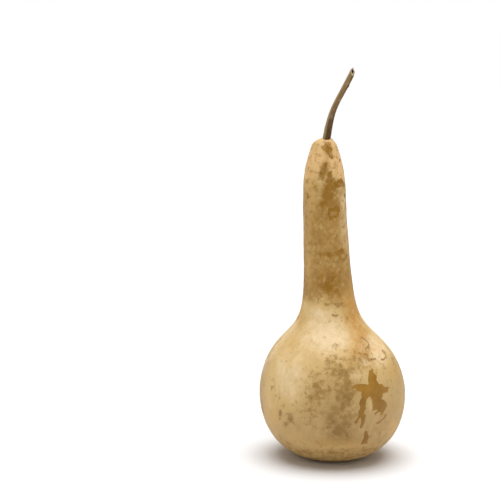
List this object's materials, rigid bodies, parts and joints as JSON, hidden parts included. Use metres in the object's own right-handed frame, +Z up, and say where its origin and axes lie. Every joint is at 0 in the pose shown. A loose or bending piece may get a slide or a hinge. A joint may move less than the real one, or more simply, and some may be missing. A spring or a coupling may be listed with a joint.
{
  "type": "dried bottle gourd",
  "caption": "Whole dried gourd with a round bowl, a long upright neck and a thin curved dry stalk, standing on the small flat of its bowl.",
  "frame": {"origin": "on the surface that the gourd stands on, under the middle of its box", "axes": "+Z up along the neck, +X to the right seen from the front, the front with the star-shaped worn patch faces -Y"},
  "size_m": [0.1446, 0.1418, 0.3841],
  "materials": {
    "dried_rind": "dried gourd rind: smooth waxy pale straw skin, worn through to darker ochre shell in ragged patches, with soft grey-brown stains",
    "dried_stalk": "dry woody stalk: dull grey-brown, with fine lengthwise fibres and ridges and a pale cut end"
  },
  "bodies": {
    "root": {"gourd_body": "dried_rind", "stalk": "dried_stalk"}
  },
  "joints": []
}
